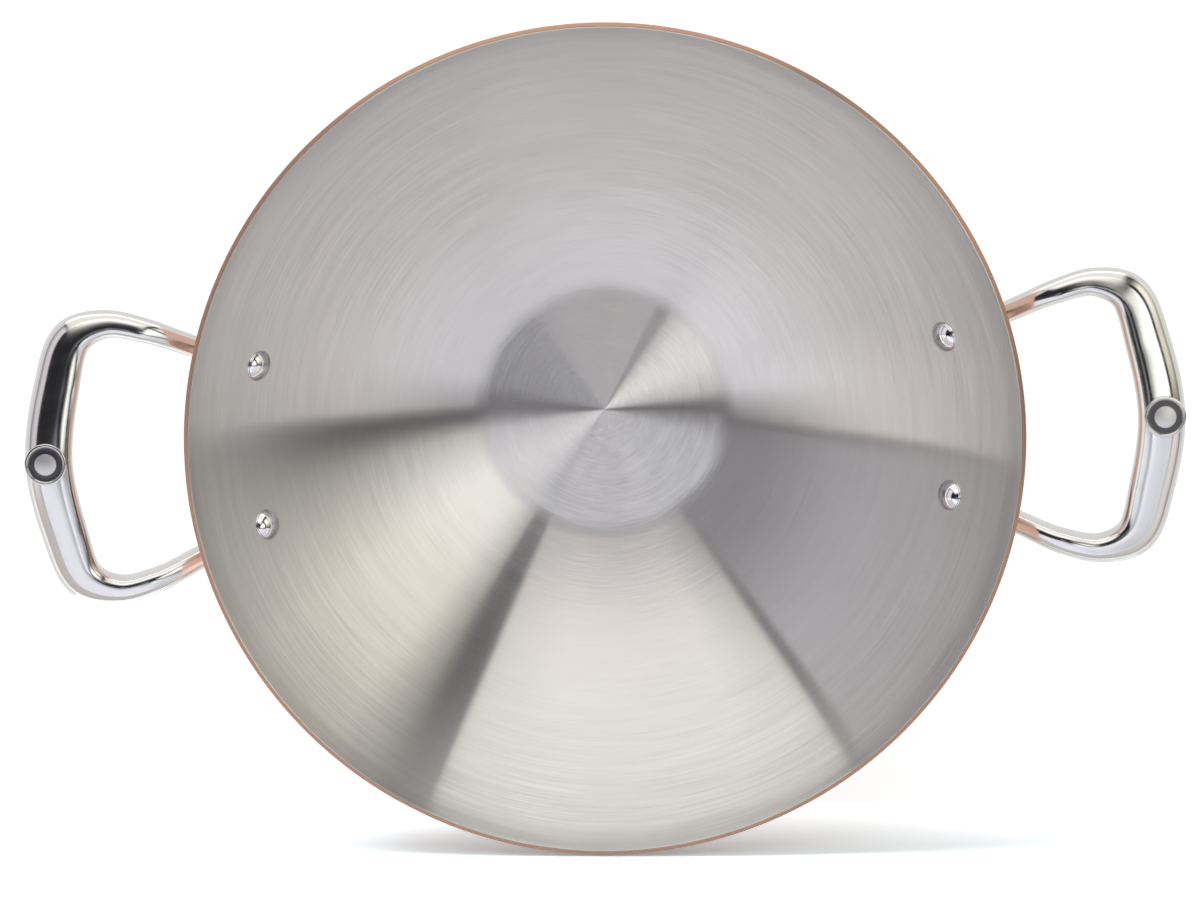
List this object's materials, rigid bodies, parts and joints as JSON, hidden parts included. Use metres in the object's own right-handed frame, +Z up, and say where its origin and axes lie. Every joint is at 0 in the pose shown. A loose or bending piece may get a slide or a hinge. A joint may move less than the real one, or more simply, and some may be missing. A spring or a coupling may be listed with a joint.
{
  "type": "wok",
  "caption": "Flat-based copper wok lined with brushed steel, with a cast steel loop handle riveted on each side for lifting it off the stove.",
  "frame": {"origin": "centre of the flat base, on the surface that the wok stands on", "axes": "+Z up along the bowl's axis, +X towards the right handle, +Y to the rear"},
  "size_m": [0.4434, 0.32, 0.0889],
  "materials": {
    "copper": "spun copper, polished bright",
    "lining_steel": "stainless steel, brushed in circles",
    "handle_steel": "cast stainless steel, mirror polished",
    "rivet_steel": "stainless steel, polished"
  },
  "bodies": {
    "root": {"copper_body": "copper", "steel_lining": "lining_steel", "left_handle": "handle_steel", "right_handle": "handle_steel", "left_front_rivet": "rivet_steel", "left_rear_rivet": "rivet_steel", "right_front_rivet": "rivet_steel", "right_rear_rivet": "rivet_steel"}
  },
  "joints": []
}
